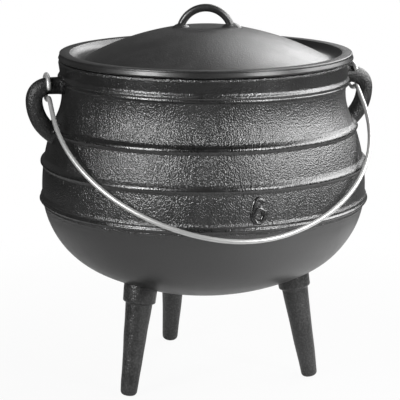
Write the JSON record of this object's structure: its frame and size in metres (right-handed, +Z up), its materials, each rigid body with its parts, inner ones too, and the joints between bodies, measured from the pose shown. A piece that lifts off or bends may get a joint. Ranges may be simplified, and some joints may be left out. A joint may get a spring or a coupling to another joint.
{
  "type": "cauldron",
  "caption": "Round-bellied cast iron cauldron on splayed legs, with beads round the wall, ear loops, a swinging wire bail and a domed lid with a rod handle.",
  "frame": {"origin": "on the ground, at the centre of the circle the three feet stand on, straight under the pot's own axis", "axes": "+Z up along the pot's axis, the two ears on +X and -X, the bail lying against the front of the belly on the -Y side"},
  "size_m": [0.3556, 0.3355, 0.3754],
  "materials": {
    "pot_iron": "sandy as-cast black, seasoned",
    "lid_iron": "smooth black, seasoned, satin",
    "dark_rod": "smooth black, satin",
    "bail_wire": "bright drawn wire"
  },
  "bodies": {
    "pot": {"pot": "pot_iron", "lid": "lid_iron", "lid_handle": "dark_rod"},
    "bail": {"bail": "bail_wire"}
  },
  "joints": [
    {"name": "bail_swing", "type": "hinge", "parent": "pot", "child": "bail", "pos_m": [0, 0, 0.2992], "axis": [-1, 0, 0], "range_deg": [0, 252]}
  ]
}
